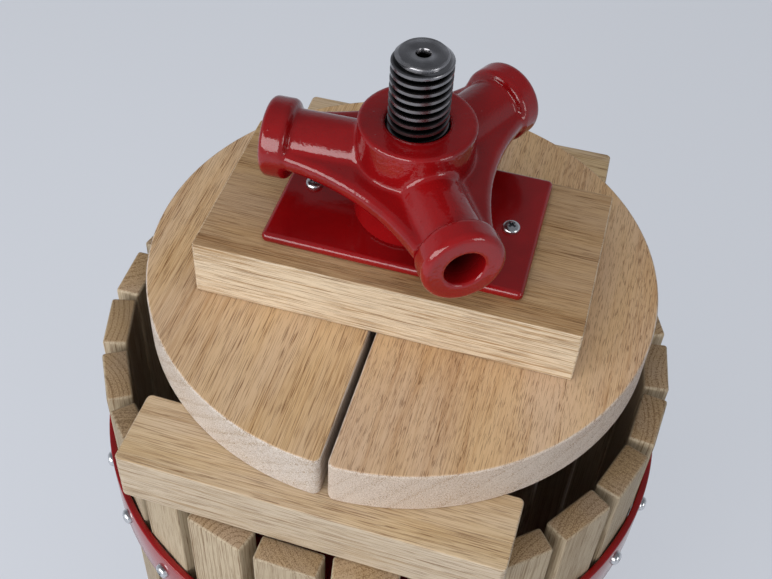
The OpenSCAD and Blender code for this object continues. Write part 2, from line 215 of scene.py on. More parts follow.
def red_enamel(name, colours, swell_mm, peel_mm, relief_mm):
    """Stoved enamel over metal: deep and glossy, with soft swells, orange peel and a little grit in it."""
    pool_mm, grit_mm = 35, 4.5
    layers = ((swell_mm, 2), (peel_mm, 1), (pool_mm, 3))
    pooled, glossy, duller, deep_bore_tone, bore_dullness = (0.42, 0.72), 0.09, 0.17, 0.3, 0.3
    speck, speckless, grit_height, swell_height = (0.05, 0.13), 0.62, 0.9, 2.5
    material, put = new_material(name)
    place = put("ShaderNodeTexCoord").outputs["Object"]
    swell, peel, pool = (put(NOISE, {"Vector": place, "Scale": 1 / (size_mm * MM), "Detail": detail})
                         for size_mm, detail in layers)
    thick = put(MAP_RANGE, pool, *pooled)
    paint = put(MIX, thick, {6: rgba(colours.enamel), 7: rgba(colours.enamel_deep)}, data_type="RGBA")
    gloss = put(MAP_RANGE, pool, *NOISE_SPAN, glossy, duller)

    # The handle sockets' bores turn darker and duller with depth
    bore = put("ShaderNodeAttribute", attribute_name="bore").outputs["Fac"]
    bore_tone = put(MAP_RANGE, bore, {3: 1, 4: deep_bore_tone})
    coat = put(VECTOR_MATH, paint.outputs[2], {"Scale": bore_tone}, operation="SCALE")
    dull = put(MATH, bore, bore_dullness, gloss, operation="MULTIPLY_ADD")

    # Grit lies under the paint here and there, drawn coarser than dust so that it shows
    grain = put("ShaderNodeTexVoronoi", {"Vector": place, "Scale": 1 / (grit_mm * MM)})
    near = put(MAP_RANGE, grain.outputs["Distance"], *speck, 1, 0, interpolation_type="SMOOTHSTEP")
    kind = put("ShaderNodeSeparateXYZ", grain.outputs["Color"])
    kept = put(MATH, kind, speckless, operation="GREATER_THAN")
    grit = put(MATH, near, kept, operation="MULTIPLY")
    rough = put(MATH, grit, grit_height, peel, operation="MULTIPLY_ADD")
    height = put(MATH, swell, swell_height, rough, operation="MULTIPLY_ADD")
    bump = put("ShaderNodeBump", {"Strength": 1, "Distance": relief_mm * MM, "Height": height})
    surface = {"Base Color": coat, "Roughness": dull, "IOR": 1.52, "Normal": bump}
    shader = put("ShaderNodeBsdfPrincipled", surface)
    put("ShaderNodeOutputMaterial", {"Surface": shader})
    return material


def sheet_enamel(colours):
    """The enamel that plate, hoops and stand share: flatter than on the casting."""
    name = "red_enamel_on_sheet"
    made = bpy.data.materials.get(name)
    return made or red_enamel(name, colours, swell_mm=40, peel_mm=2.2, relief_mm=0.045)


def turned_steel(colours, crest, top):
    """Oiled turned steel: dark, with fine tool rings round the screw's axis and duller patches."""
    ring_mm, patch_mm, relief_mm, grease_and_shade_mm, faced_mm = 0.5, 7, 0.06, (1.2, 0.15), (2.6, 2.4)
    grease_and_shade, bare, clean_end, polished, worn = 0.09, 1, 1.1, 0.22, 0.36
    oil_span, dry, oily = (0.35, 0.7), 1.15, 0.75
    material, put = new_material("turned_steel")
    place = put("ShaderNodeTexCoord").outputs["Object"]
    flat = put(VECTOR_MATH, place, (1, 1, 0), operation="MULTIPLY")
    radius = put(VECTOR_MATH, flat, operation="LENGTH")
    # Tool rings are drawn coarser than a lathe's, so that they show
    rings = put(NOISE, {"W": radius.outputs[1], "Scale": 1 / (ring_mm * MM), "Detail": 1},
                noise_dimensions="1D")
    patch = put(NOISE, {"Vector": place, "Scale": 1 / (patch_mm * MM), "Detail": 4})
    oil = put(MAP_RANGE, patch, *oil_span, dry, oily)
    # The thread's grooves are darkened nearly black, partly by grease and partly as painted shade, and the
    # faced end is clean
    groove = put(MAP_RANGE, radius.outputs[1], crest - grease_and_shade_mm[0] * MM, crest - grease_and_shade_mm[1] * MM,
                 grease_and_shade, bare)
    height = put("ShaderNodeSeparateXYZ", place)
    faced = put(MAP_RANGE, height.outputs[2], top - faced_mm[0] * MM, top - faced_mm[1] * MM, {4: clean_end})
    clean = put(MATH, groove, faced, operation="MAXIMUM")
    film = put(MATH, oil, clean, operation="MULTIPLY")
    tint = put(VECTOR_MATH, colours.steel, {"Scale": film}, operation="SCALE")
    rough = put(MAP_RANGE, patch, *NOISE_SPAN, polished, worn)
    bump = put("ShaderNodeBump", {"Strength": 0.5, "Distance": relief_mm * MM, "Height": rings})
    surface = {"Base Color": tint, "Metallic": 1, "Roughness": rough, "Normal": bump}
    shader = put("ShaderNodeBsdfPrincipled", surface)
    put("ShaderNodeOutputMaterial", {"Surface": shader})
    return material


def bright_zinc(colours):
    """Bright zinc plate on pressed steel: pale, cool, a little cloudy. All small steel parts share it."""
    if "bright_zinc" in bpy.data.materials:
        return bpy.data.materials["bright_zinc"]
    cloud_mm = 2.5
    dim, bright, polished, cloudy = 0.82, 1.05, 0.18, 0.36
    material, put = new_material("bright_zinc")
    place = put("ShaderNodeTexCoord").outputs["Object"]
    cloud = put(NOISE, {"Vector": place, "Scale": 1 / (cloud_mm * MM), "Detail": 3})
    light = put(MAP_RANGE, cloud, *NOISE_SPAN, dim, bright)
    tint = put(VECTOR_MATH, colours.zinc, {"Scale": light}, operation="SCALE")
    rough = put(MAP_RANGE, cloud, *NOISE_SPAN, polished, cloudy)
    shader = put("ShaderNodeBsdfPrincipled", {"Base Color": tint, "Metallic": 1, "Roughness": rough})
    put("ShaderNodeOutputMaterial", {"Surface": shader})
    return material


def moulded_rubber(colours):
    """Moulded black rubber: matt, with a faint grey bloom."""
    bloom_mm = 4
    bloom_span, black, grey, matt = (0.3, 0.75), 0.8, 1.9, 0.75
    material, put = new_material("moulded_rubber")
    place = put("ShaderNodeTexCoord").outputs["Object"]
    bloom = put(NOISE, {"Vector": place, "Scale": 1 / (bloom_mm * MM), "Detail": 4})
    light = put(MAP_RANGE, bloom, *bloom_span, black, grey)
    tint = put(VECTOR_MATH, colours.rubber, {"Scale": light}, operation="SCALE")
    shader = put("ShaderNodeBsdfPrincipled", {"Base Color": tint, "Roughness": matt})
    put("ShaderNodeOutputMaterial", {"Surface": shader})
    return material


def planed_wood(name, tones, top_tone_and_light, ring_mm, ring_depth, pore_mm, pore_depth,
                pith_mm=(0, 0, 0), turn=(0, 0, 0), own_grain=False):
    """Planed, bare wood: growth rings round a far pith, and open pores drawn out along the grain.

    tones are the late wood, early wood and pores on the piece's sides; on a piece with its own grain the pore
    tone also darkens the inner faces as painted shade. On level faces the tones are multiplied by a tint that
    is partly the grain's own tone and weathering, and partly painted light and shade from how the lamps fall.
    turn lays the grain along the pattern's X, and pith_mm is where the tree's middle lies.
    pore_mm is a pore's length and width. ring_depth and pore_depth say how strongly rings and pores show.
    A piece with its own grain carries its place in the wood, in millimetres, as an attribute.
    """
    late, early_tone, pore_and_shade_tone = tones
    pore_length, pore_width = pore_mm
    sway_mm, fibre_mm, patch_mm = (170, 70, 70), (36, 0.65, 0.65), (125, 28, 28)
    grain_noises = ((sway_mm, 3, 0.55), ((pore_length, pore_width, pore_width), 1, 0.5), (fibre_mm, 4, 0.7),
                    (patch_mm, 3, 0.5))
    bend_mm, relief_mm, inner_shade_mm = 6, 0.12, (-6.2, -5)
    weather_scale, weather_years, early_span, onset_span = 0.45, 1.5, (0.03, 0.5), (0, 0.06)
    level_span, pore_span, warm_span, sway_span = (0.75, 0.98), (0.57, 0.63), (0.36, 0.64), (0.3, 0.65)
    streaks, drifts, faint, ring_pores, stray_pores = (-0.38, 0.42), (-0.12, 0.3), 0.3, 0.35, 0.65
    smooth, open_grain, gold, inner_shade_share, dark_lot, light_lot = 0.55, 0.75, (1.05, 1, 0.82), 0.5, 0.84, 1.22
    material, put = new_material(name)
    coordinates = put("ShaderNodeTexCoord")
    if own_grain:
        local = put("ShaderNodeAttribute", attribute_name="grain")
        shift = put("ShaderNodeAttribute", attribute_name="grain_shift")
        place = put(VECTOR_MATH, local.outputs["Vector"], shift.outputs["Vector"], operation="ADD")
    else:
        place = put("ShaderNodeMapping", {"Vector": coordinates.outputs["Object"], "Location": pith_mm,
                                          "Rotation": turn, "Scale": (1 / MM, 1 / MM, 1 / MM)})

    # The trunk's sway, the pores, the fibres and the broad patches are noises drawn out along the grain
    noises = []
    for size_mm, detail, roughness in grain_noises:
        scaled = put(VECTOR_MATH, place, size_mm, operation="DIVIDE")
        noises.append(put(NOISE, {"Vector": scaled, "Scale": 1, "Detail": detail, "Roughness": roughness}))
    sway, spots, fibres, patches = noises

    # The trunk sways a little along its length, which bends the rings into long arches
    centred = put(VECTOR_MATH, sway.outputs[1], (0.5, 0.5, 0.5), operation="SUBTRACT")
    bent = put(VECTOR_MATH, centred, (0, bend_mm, bend_mm), place, operation="MULTIPLY_ADD")
    section = put(VECTOR_MATH, bent, (0, 1, 1), operation="MULTIPLY")
    radius = put(VECTOR_MATH, section, operation="LENGTH")
    years = put(MATH, radius.outputs[1], ring_mm, operation="DIVIDE")
    weather = put(NOISE, {"W": years, "Scale": weather_scale, "Detail": 2}, noise_dimensions="1D")
    uneven = put(MATH, weather, weather_years, years, operation="MULTIPLY_ADD")
    season = put(MATH, uneven, operation="FRACT")
    early = put(MAP_RANGE, season, *early_span, 1, 0, interpolation_type="SMOOTHSTEP")
    onset = put(MAP_RANGE, season, *onset_span, interpolation_type="SMOOTHSTEP")
    porous = put(MATH, early, onset, operation="MULTIPLY")

    # Level faces are told from upright ones
    facing = put(VECTOR_MATH, coordinates.outputs["Normal"], (0, 0, 1), operation="DOT_PRODUCT")
    upright = put(MATH, facing.outputs[1], operation="ABSOLUTE")
    level = put(MAP_RANGE, upright, *level_span, interpolation_type="SMOOTHSTEP")

    # Pores are thin and long, and strongest in the early wood: drawn wider than real ones, so that they show
    open_pores = put(MAP_RANGE, spots, *pore_span, interpolation_type="SMOOTHSTEP")
    share = put(MATH, porous, ring_pores, stray_pores, operation="MULTIPLY_ADD")
    pores = put(MATH, open_pores, share, operation="MULTIPLY")

    # Fibres give fine streaks, and broad patches drift in tone
    beside, above = (1, 2.4) if own_grain else (2.2, 1.4)
    contrast = put(MAP_RANGE, level, {3: beside, 4: above})
    grey = put(MAP_RANGE, fibres, *NOISE_SPAN, *streaks)
    streak = put(MATH, grey, contrast, operation="MULTIPLY")
    drift = put(MAP_RANGE, patches, *NOISE_SPAN, *drifts)
    fade = put(MAP_RANGE, sway, *sway_span, ring_depth * faint, ring_depth)
    lines = put(MATH, porous, fade, streak, operation="MULTIPLY_ADD")
    depth = put(MATH, lines, drift, operation="ADD", use_clamp=True)
    body = put(MIX, depth, {6: rgba(late), 7: rgba(early_tone)}, data_type="RGBA")
    pore_mark = put(MATH, pores, pore_depth, operation="MULTIPLY")
    pored = put(MIX, pore_mark, {6: body.outputs[2], 7: rgba(pore_and_shade_tone)}, data_type="RGBA")

    # Level faces are tinted apart from upright ones, partly by the grain's own tone and weathering and partly
    # by painted light and shade from how the lamps fall on them, and turn golden in broad patches
    worn = put(VECTOR_MATH, pored.outputs[2], top_tone_and_light, operation="MULTIPLY")
    golden = put(VECTOR_MATH, worn, gold, operation="MULTIPLY")
    warmth = put(MAP_RANGE, patches.outputs[1], *warm_span, interpolation_type="SMOOTHSTEP")
    toned = put(MIX, warmth, {6: worn, 7: golden}, data_type="RGBA")
    tint = put(MIX, level, {6: pored.outputs[2], 7: toned.outputs[2]}, data_type="RGBA")
    if own_grain:
        # The slats' inner faces are darkened halfway to the pore tone as painted shade inside the basket, and
        # some slats are lighter than others
        inwards = put("ShaderNodeSeparateXYZ", local.outputs["Vector"])
        inner_shade = put(MAP_RANGE, inwards.outputs[2], inner_shade_mm[0], inner_shade_mm[1], inner_shade_share, 1)
        lot = put("ShaderNodeSeparateXYZ", shift.outputs["Vector"])
        light = put(MAP_RANGE, lot.outputs[1], -LOT_MM, LOT_MM, dark_lot, light_lot)
        varied = put(VECTOR_MATH, tint.outputs[2], {"Scale": light}, operation="SCALE")
        tint = put(MIX, inner_shade, {6: rgba(pore_and_shade_tone), 7: varied}, data_type="RGBA")
    rough = put(MAP_RANGE, pores, {3: smooth, 4: open_grain})
    hollow = put(MATH, pores, -1, streak, operation="MULTIPLY_ADD")
    bump = put("ShaderNodeBump", {"Strength": 0.6, "Distance": relief_mm * MM, "Height": hollow})
    surface = {"Base Color": tint.outputs[2], "Roughness": rough, "IOR": 1.45, "Normal": bump}
    shader = put("ShaderNodeBsdfPrincipled", surface)
    put("ShaderNodeOutputMaterial", {"Surface": shader})
    return material


def shade(mesh, angle=40):
    """Shades a mesh smooth, apart from edges sharper than the angle."""
    mesh.polygons.foreach_set("use_smooth", [True] * len(mesh.polygons))
    mesh.set_sharp_from_angle(angle=math.radians(angle))
    mesh.update()


def link(name, mesh):
    """Puts a mesh in the scene as a new object at the origin."""
    piece = bpy.data.objects.new(name, mesh)
    bpy.context.scene.collection.objects.link(piece)
    return piece


def flatten(piece):
    """Turns an object's evaluated shape into its plain mesh and removes its modifiers."""
    bpy.context.view_layer.update()
    graph = bpy.context.evaluated_depsgraph_get()
    mesh = bpy.data.meshes.new_from_object(piece.evaluated_get(graph))
    piece.modifiers.clear()
    piece.data = mesh
    return mesh


def read_mesh(*meshes):
    """Reads meshes into one new bmesh."""
    shape = bmesh.new()
    for mesh in meshes:
        shape.from_mesh(mesh)
    return shape


def write_mesh(shape, mesh):
    """Writes a bmesh into a mesh, frees it and returns the mesh."""
    shape.to_mesh(mesh)
    shape.free()
    return mesh


def round_edges(shape, edges, radius, segments):
    """Rounds edges of a bmesh."""
    bmesh.ops.bevel(shape, geom=edges, offset=radius, segments=segments, profile=0.5, affect="EDGES")


def drop_slivers(mesh, size):
    """Removes a mesh's edges that are shorter than a size, and the faces that they leave empty."""
    shape = read_mesh(mesh)
    bmesh.ops.dissolve_degenerate(shape, edges=shape.edges, dist=size)
    write_mesh(shape, mesh)


def carve(piece, name, mesh, operation):
    """Cuts or keeps what another mesh covers of a piece, and drops the slivers that this leaves."""
    tool = link(name, mesh)
    cut = piece.modifiers.new(name, "BOOLEAN")
    cut.operation = operation
    cut.object = tool
    cut.use_self = True
    drop_slivers(flatten(piece), SEAM)
    bpy.data.objects.remove(tool)


def hand_over(piece, material, body, slot, *nodes):
    """Gives a finished piece its material and body, and hides the CAD nodes that it stands for. Its slot is
    not used.
    """
    piece.data.materials.clear()
    piece.data.materials.append(material)
    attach(piece, body)
    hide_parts(*nodes)


def level_faces(piece):
    """Keeps a rounded piece's large faces flat in shading, so that only its edges look round."""
    flat = piece.modifiers.new("flat_faces", "WEIGHTED_NORMAL")
    flat.weight = 100
    flat.keep_sharp = True
    flatten(piece)


def rounded_copy(node, name, edge, segments=3, corner=0, merge=MERGE):
    """Copies a CAD node, merges its triangles into faces, and rounds its upright corners, then its edges."""
    coplanar, bevelled, plumb, cusp = math.radians(0.4), math.radians(35), 0.99, 0.25 * MM
    mesh = frame["nodes"][node].data.copy()
    shape = read_mesh(mesh)
    bmesh.ops.remove_doubles(shape, verts=shape.verts, dist=merge)
    bmesh.ops.dissolve_limit(shape, angle_limit=coplanar, verts=shape.verts, edges=shape.edges)
    if corner:
        upright = [e for e in shape.edges if e.calc_face_angle(0) > STEEP
                   and abs((e.verts[0].co - e.verts[1].co).normalized().z) > plumb]
        round_edges(shape, upright, corner, segments=5)
    write_mesh(shape, mesh)
    mesh.name = name
    shade(mesh)
    piece = link(name, mesh)
    if edge:
        bevel = piece.modifiers.new("edges", "BEVEL")
        bevel.width = edge
        bevel.segments = segments
        bevel.limit_method = "ANGLE"
        bevel.angle_limit = bevelled
        bevel.use_clamp_overlap = False
        if corner:
            # The edges' roundings leave thin cusps beside the rounded corners
            drop_slivers(flatten(piece), cusp)
        level_faces(piece)
    return piece


def rounded_slab(node, name, edge, corner, segments=3):
    """A box with rounded corners and edges in a CAD slab's place, with the slab's own holes through it."""
    low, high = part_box(node)
    shape = bmesh.new()
    place = Matrix.Translation((low + high) / 2) @ Matrix.Diagonal((*(high - low), 1))
    bmesh.ops.create_cube(shape, size=1, matrix=place)
    upright = [e for e in shape.edges if abs(e.verts[0].co.z - e.verts[1].co.z) > edge]
    round_edges(shape, upright, corner, segments=6)
    around = [e for e in shape.edges if e.calc_face_angle(0) > STEEP]
    round_edges(shape, around, edge, segments)
    mesh = write_mesh(shape, bpy.data.meshes.new(name))

    # The CAD slab is stretched past the box on every side, so that only its holes are left to cut
    past = 2 * MM
    holes = frame["nodes"][node].data.copy()
    shape = read_mesh(holes)
    bmesh.ops.remove_doubles(shape, verts=shape.verts, dist=MERGE)
    for vertex in shape.verts:
        for axis in range(3):
            if vertex.co[axis] - low[axis] < corner:
                vertex.co[axis] = low[axis] - past
            elif high[axis] - vertex.co[axis] < corner:
                vertex.co[axis] = high[axis] + past
    write_mesh(shape, holes)
    piece = link(name, mesh)
    carve(piece, name + "_holes", holes, "INTERSECT")
    shade(piece.data)
    level_faces(piece)
    return piece


def turned_mesh(name, profile, segments):
    """Turns (radius, height) points, which run up the outside and then inwards, into a round mesh about Z."""
    shape = bmesh.new()
    rings = []
    for radius, height in profile:
        if radius == 0:
            rings.append([shape.verts.new((0, 0, height))])
            continue
        turns = [2 * math.pi * i / segments for i in range(segments)]
        rings.append([shape.verts.new((radius * math.cos(t), radius * math.sin(t), height)) for t in turns])
    for lower, upper in zip(rings, rings[1:]):
        for i in range(segments):
            j = (i + 1) % segments
            corners = [lower[i % len(lower)], lower[j % len(lower)],
                       upper[j % len(upper)], upper[i % len(upper)]]
            shape.faces.new(dict.fromkeys(corners))
    return write_mesh(shape, bpy.data.meshes.new(name))


def cross_head(name, radius, height, rim):
    """A domed screw head on Z with a cross recess cut in it, as an object."""
    steps, sides, roundness, taper = 8, 32, 0.6, 0.5
    dome = height - rim
    arch = [(radius * math.cos(a) ** roundness, rim + dome * math.sin(a))
            for a in (math.pi / 2 * i / steps for i in range(steps))]
    profile = [(0, 0), (radius, 0)] + arch + [(0, height)]
    head = link(name, turned_mesh(name, profile, sides))
    cutter_shape = bmesh.new()
    # The recess is cut by two crossed blades, of this length, width and height, that narrow downwards
    blade = (radius * 1.35, radius * 0.42, height * 1.6)
    for turn in (0, math.pi / 2):
        place = Matrix.Translation((0, 0, height)) @ Matrix.Rotation(turn, 4, "Z")
        made = bmesh.ops.create_cube(cutter_shape, size=1, matrix=place @ Matrix.Diagonal((*blade, 1)))
        floor = [v for v in made["verts"] if v.co.z < height]
        bmesh.ops.scale(cutter_shape, vec=(taper, taper, 1), verts=floor)
    cutter = write_mesh(cutter_shape, bpy.data.meshes.new("cross_recess"))
    carve(head, "cross_recess", cutter, "DIFFERENCE")
    shade(head.data)
    return head


def new_tree(name, **inputs):
    """Starts a Geometry Nodes tree. Returns it, the function that adds its nodes, and its inputs by name."""
    tree = bpy.data.node_groups.new(name, "GeometryNodeTree")
    tree.interface.new_socket("Geometry", in_out="OUTPUT", socket_type="NodeSocketGeometry")
    for key, kind in inputs.items():
        tree.interface.new_socket(key, in_out="INPUT", socket_type="NodeSocket" + kind)
    put = partial(add, tree)
    return tree, put, put("NodeGroupInput").outputs


def close_tree(put, geometry, material):
    """Ends a tree with Realize Instances and Set Material."""
    real = put("GeometryNodeRealizeInstances", {"Geometry": geometry})
    painted = put("GeometryNodeSetMaterial", {"Geometry": real, "Material": material})
    put("NodeGroupOutput", {"Geometry": painted})


def grow(name, tree, **values):
    """Runs a tree with its inputs set, and keeps the result as a plain mesh object."""
    piece = link(name, bpy.data.meshes.new(name))
    modifier = piece.modifiers.new("nodes", "NODES")
    modifier.node_group = tree
    sockets = {item.name: item.identifier for item in tree.interface.items_tree if item.in_out == "INPUT"}
    for key, value in values.items():
        modifier[sockets[key]] = value
    flatten(piece).name = name
    return piece


def thread_tree():
    """A trapezoidal thread: a grid sheared by one pitch, rolled round Z and trimmed between two heights."""
    tree, put, given = new_tree(
        "press_thread", Radius="Float", Pitch="Float", Depth="Float", Chamfer="Float", Bottom="Float",
        Top="Float", Turns="Int", Sides="Int", Rows="Int", Material="Material")
    columns = put(MATH, given["Sides"], 1, operation="ADD")
    rows = put(MATH, given["Turns"], given["Rows"], 1, operation="MULTIPLY_ADD")
    sheet = put("GeometryNodeMeshGrid", {"Size X": 1, "Size Y": 1, "Vertices X": columns, "Vertices Y": rows})
    # The unit grid's X goes once round the screw, and its Y along it
    spot = put("GeometryNodeInputPosition")
    parts = put("ShaderNodeSeparateXYZ", spot)
    round_part = put(MATH, parts, 0.5, operation="ADD")
    along = put(MATH, parts.outputs[1], 0.5, operation="ADD")
    run = put(MATH, along, given["Turns"], operation="MULTIPLY")
    climb = put(MATH, run, round_part, operation="ADD")
    lowered = put(MATH, climb, -1, operation="ADD")
    raw = put(MATH, lowered, given["Pitch"], given["Bottom"], operation="MULTIPLY_ADD")
    capped = put(MATH, raw, given["Top"], operation="MINIMUM")
    height = put(MATH, capped, given["Bottom"], operation="MAXIMUM")

    # The crest, the groove's floor, and the two flanks together, each take a third of the pitch
    swing = put(MATH, run, 0.5, operation="PINGPONG")
    sunk = put(MAP_RANGE, swing, 1 / 6, 1 / 3, 1, 0)
    groove = put(MATH, sunk, given["Depth"], operation="MULTIPLY")
    cut = put(MATH, given["Radius"], groove, operation="SUBTRACT")
    below_top = put(MATH, given["Top"], height, operation="SUBTRACT")
    end_radius = put(MATH, given["Radius"], given["Chamfer"], operation="SUBTRACT")
    cone = put(MATH, end_radius, below_top, operation="ADD")
    outer = put(MATH, cut, cone, operation="MINIMUM")
    above = put(MATH, raw, given["Bottom"], operation="GREATER_THAN")
    radius = put(MATH, outer, above, operation="MULTIPLY")

    turn = put(MATH, round_part, 2 * math.pi, operation="MULTIPLY")
    cosine = put(MATH, turn, operation="COSINE")
    sine = put(MATH, turn, operation="SINE")
    x = put(MATH, radius, cosine, operation="MULTIPLY")
    y = put(MATH, radius, sine, operation="MULTIPLY")
    rolled = put("ShaderNodeCombineXYZ", x, y, height)
    placed = put("GeometryNodeSetPosition", {"Geometry": sheet, "Position": rolled})
    sealed = put("GeometryNodeMergeByDistance", {"Geometry": placed, "Distance": SEAM})
    close_tree(put, sealed, given["Material"])
    return tree


def ring_tree():
    """Copies of a blank in a ring round Z, each turned outwards, with its own drop and place in the wood."""
    tree, put, given = new_tree(
        "basket_ring", Blank="Object", Count="Int", Radius="Float", First="Float", Centre="Vector",
        Drop="Float", Seed="Int", Material="Material")
    circle = put("GeometryNodeMeshCircle", {"Vertices": given["Count"], "Radius": given["Radius"]})
    first_turn = put("ShaderNodeCombineXYZ", {2: given["First"]})
    aimed = put("GeometryNodeTransform",
                {"Geometry": circle, "Translation": given["Centre"], "Rotation": first_turn})
    index = put("GeometryNodeInputIndex")
    sector = put(MATH, 2 * math.pi, given["Count"], operation="DIVIDE")
    turn = put(MATH, index, sector, given["First"], operation="MULTIPLY_ADD")
    outwards = put("ShaderNodeCombineXYZ", {2: turn})
    fall = put("FunctionNodeRandomValue", {2: 0, 3: given["Drop"], "ID": index, "Seed": given["Seed"]},
               data_type="FLOAT")
    lowered = put(MATH, fall.outputs[1], -1, operation="MULTIPLY")
    offset = put("ShaderNodeCombineXYZ", {2: lowered})
    settled = put("GeometryNodeSetPosition", {"Geometry": aimed, "Offset": offset})
    blank = put("GeometryNodeObjectInfo", {"Object": given["Blank"]})
    ring = put("GeometryNodeInstanceOnPoints",
               {"Points": settled, "Instance": blank.outputs["Geometry"], "Rotation": outwards})
    shift = put("FunctionNodeRandomValue", (-TRUNK_MM, -LOT_MM, -LOT_MM), (TRUNK_MM, LOT_MM, LOT_MM),
                {"ID": index, "Seed": given["Seed"]}, data_type="FLOAT_VECTOR")
    marked = put("GeometryNodeStoreNamedAttribute", {"Geometry": ring, "Name": "grain_shift", "Value": shift},
                 data_type="FLOAT_VECTOR", domain="INSTANCE")
    close_tree(put, marked, given["Material"])
    return tree


def band_tree():
    """A flat band with rounded edges, rolled round Z."""
    tree, put, given = new_tree(
        "hoop_band", Radius="Float", Width="Float", Thickness="Float", Edge="Float", Centre="Vector",
        Sides="Int", Material="Material")
    circle = put("GeometryNodeCurvePrimitiveCircle",
                 {"Resolution": given["Sides"], "Radius": given["Radius"]})
    section = put("GeometryNodeCurvePrimitiveQuadrilateral",
                  {"Width": given["Thickness"], "Height": given["Width"]})
    eased = put("GeometryNodeFilletCurve",
                {"Curve": section, "Radius": given["Edge"], "Count": 4, "Limit Radius": True}, mode="POLY")
    band = put("GeometryNodeCurveToMesh", {"Curve": circle, "Profile Curve": eased})
    placed = put("GeometryNodeTransform", {"Geometry": band, "Translation": given["Centre"]})
    smooth = put("GeometryNodeSetShadeSmooth", {"Geometry": placed, "Shade Smooth": True})
    close_tree(put, smooth, given["Material"])
    return tree


def fillet_union(a, b, reach):
    """Joins two distance fields with a fillet of that reach."""
    near = np.maximum(reach - np.abs(a - b), 0) / reach
    return np.minimum(a, b) - near * near * reach / 4


def soft_cut(a, b, reach):
    """Cuts one distance field out of another and eases the new edge by that reach."""
    return -fillet_union(-a, b, reach)


def rounded_edge(side, end, edge):
    """Distance to two faces that meet in a rounded edge, from the distances to each of them."""
    side = side + edge
    end = end + edge
    return np.minimum(np.maximum(side, end), 0) + np.hypot(np.maximum(side, 0), np.maximum(end, 0)) - edge


def rounded_bar(along, across, low, high, radius, edge):
    """Distance to a round bar between two places on its axis, with rounded ends."""
    return rounded_edge(across - radius, np.abs(along - (low + high) / 2) - (high - low) / 2, edge)


def along_sockets(points, sizes, turns):
    """Where points lie along each handle socket's axis, and how far from it."""
    x, y, z = points.T
    places = []
    for turn in turns:
        along = x * math.cos(turn) + y * math.sin(turn)
        across = np.hypot(y * math.cos(turn) - x * math.sin(turn), z - sizes.socket_height)
        places.append((along, across))
    return places


def nut_field(points, sizes, turns, height):
    """Distance from points to the nut's surface, in metres, with the nut's foot at height 0."""
    tube_edge, bore_edge, mouth_edge = 2 * MM, 1 * MM, 1.2 * MM
    screw_room, screw_mouth = 0.7 * MM, 1.8 * MM
    flange_edge = sizes.flange_length * 0.24
    flange_fillet, web_fillet = sizes.casting_fillet * 0.7, sizes.casting_fillet * 0.8
    web_edge = sizes.web_thickness * 0.4
    x, y, z = points.T
    middle = np.hypot(x, y)
    places = along_sockets(points, sizes, turns)
    shape = rounded_bar(z, middle, 0, height, sizes.hub_radius, sizes.hub_edge)
    mouth = sizes.socket_reach
    end = mouth - sizes.flange_length / 2
    arms = np.full(len(points), 1.0)
    for along, across in places:
        tube = rounded_bar(along, across, sizes.hub_radius / 2, end, sizes.tube_radius, tube_edge)
        flange_foot = mouth - sizes.flange_length
        flange = rounded_bar(along, across, flange_foot, mouth, sizes.flange_radius, flange_edge)
        arms = np.minimum(arms, fillet_union(tube, flange, flange_fillet))
    shape = fillet_union(shape, arms, sizes.casting_fillet)

    # The web's outline is three hollow arcs, each through its waist and the corners at two flanges
    corner = end * math.cos(math.pi / 3) + sizes.web_half_width * math.sin(math.pi / 3)
    corner_distance = end ** 2 + sizes.web_half_width ** 2
    arc_middle = (corner_distance - sizes.web_waist ** 2) / (2 * (corner - sizes.web_waist))
    arc_radius = arc_middle - sizes.web_waist
    outline = np.max([along for along, across in places], axis=0) - end
    for turn in turns:
        gap = turn + math.pi / 3
        hollow = arc_radius - np.hypot(x - arc_middle * math.cos(gap), y - arc_middle * math.sin(gap))
        outline = np.maximum(outline, hollow)
    flat = np.abs(z - sizes.socket_height) - sizes.web_thickness / 2
    shape = fillet_union(shape, rounded_edge(outline, flat, web_edge), web_fillet)

    floor = mouth - sizes.socket_depth
    for along, across in places:
        bore = rounded_bar(along, across, floor, mouth * 2, sizes.socket_radius, bore_edge)
        shape = soft_cut(shape, bore, mouth_edge)
    bore = rounded_bar(z, middle, -height, height * 2, sizes.screw_radius + screw_room, bore_edge)
    return soft_cut(shape, bore, screw_mouth)


def bore_depth(points, sizes, turns):
    """How deep points lie in a socket's bore: 0 outside it and at its mouth, 1 from the dull depth on."""
    dull_depth, wall = 12 * MM, 0.3 * MM
    depth = np.zeros(len(points))
    for along, across in along_sockets(points, sizes, turns):
        inside = (across < sizes.socket_radius + wall) & (along > 0)
        depth = np.where(inside, np.clip((sizes.socket_reach - along) / dull_depth, 0, 1), depth)
    return depth


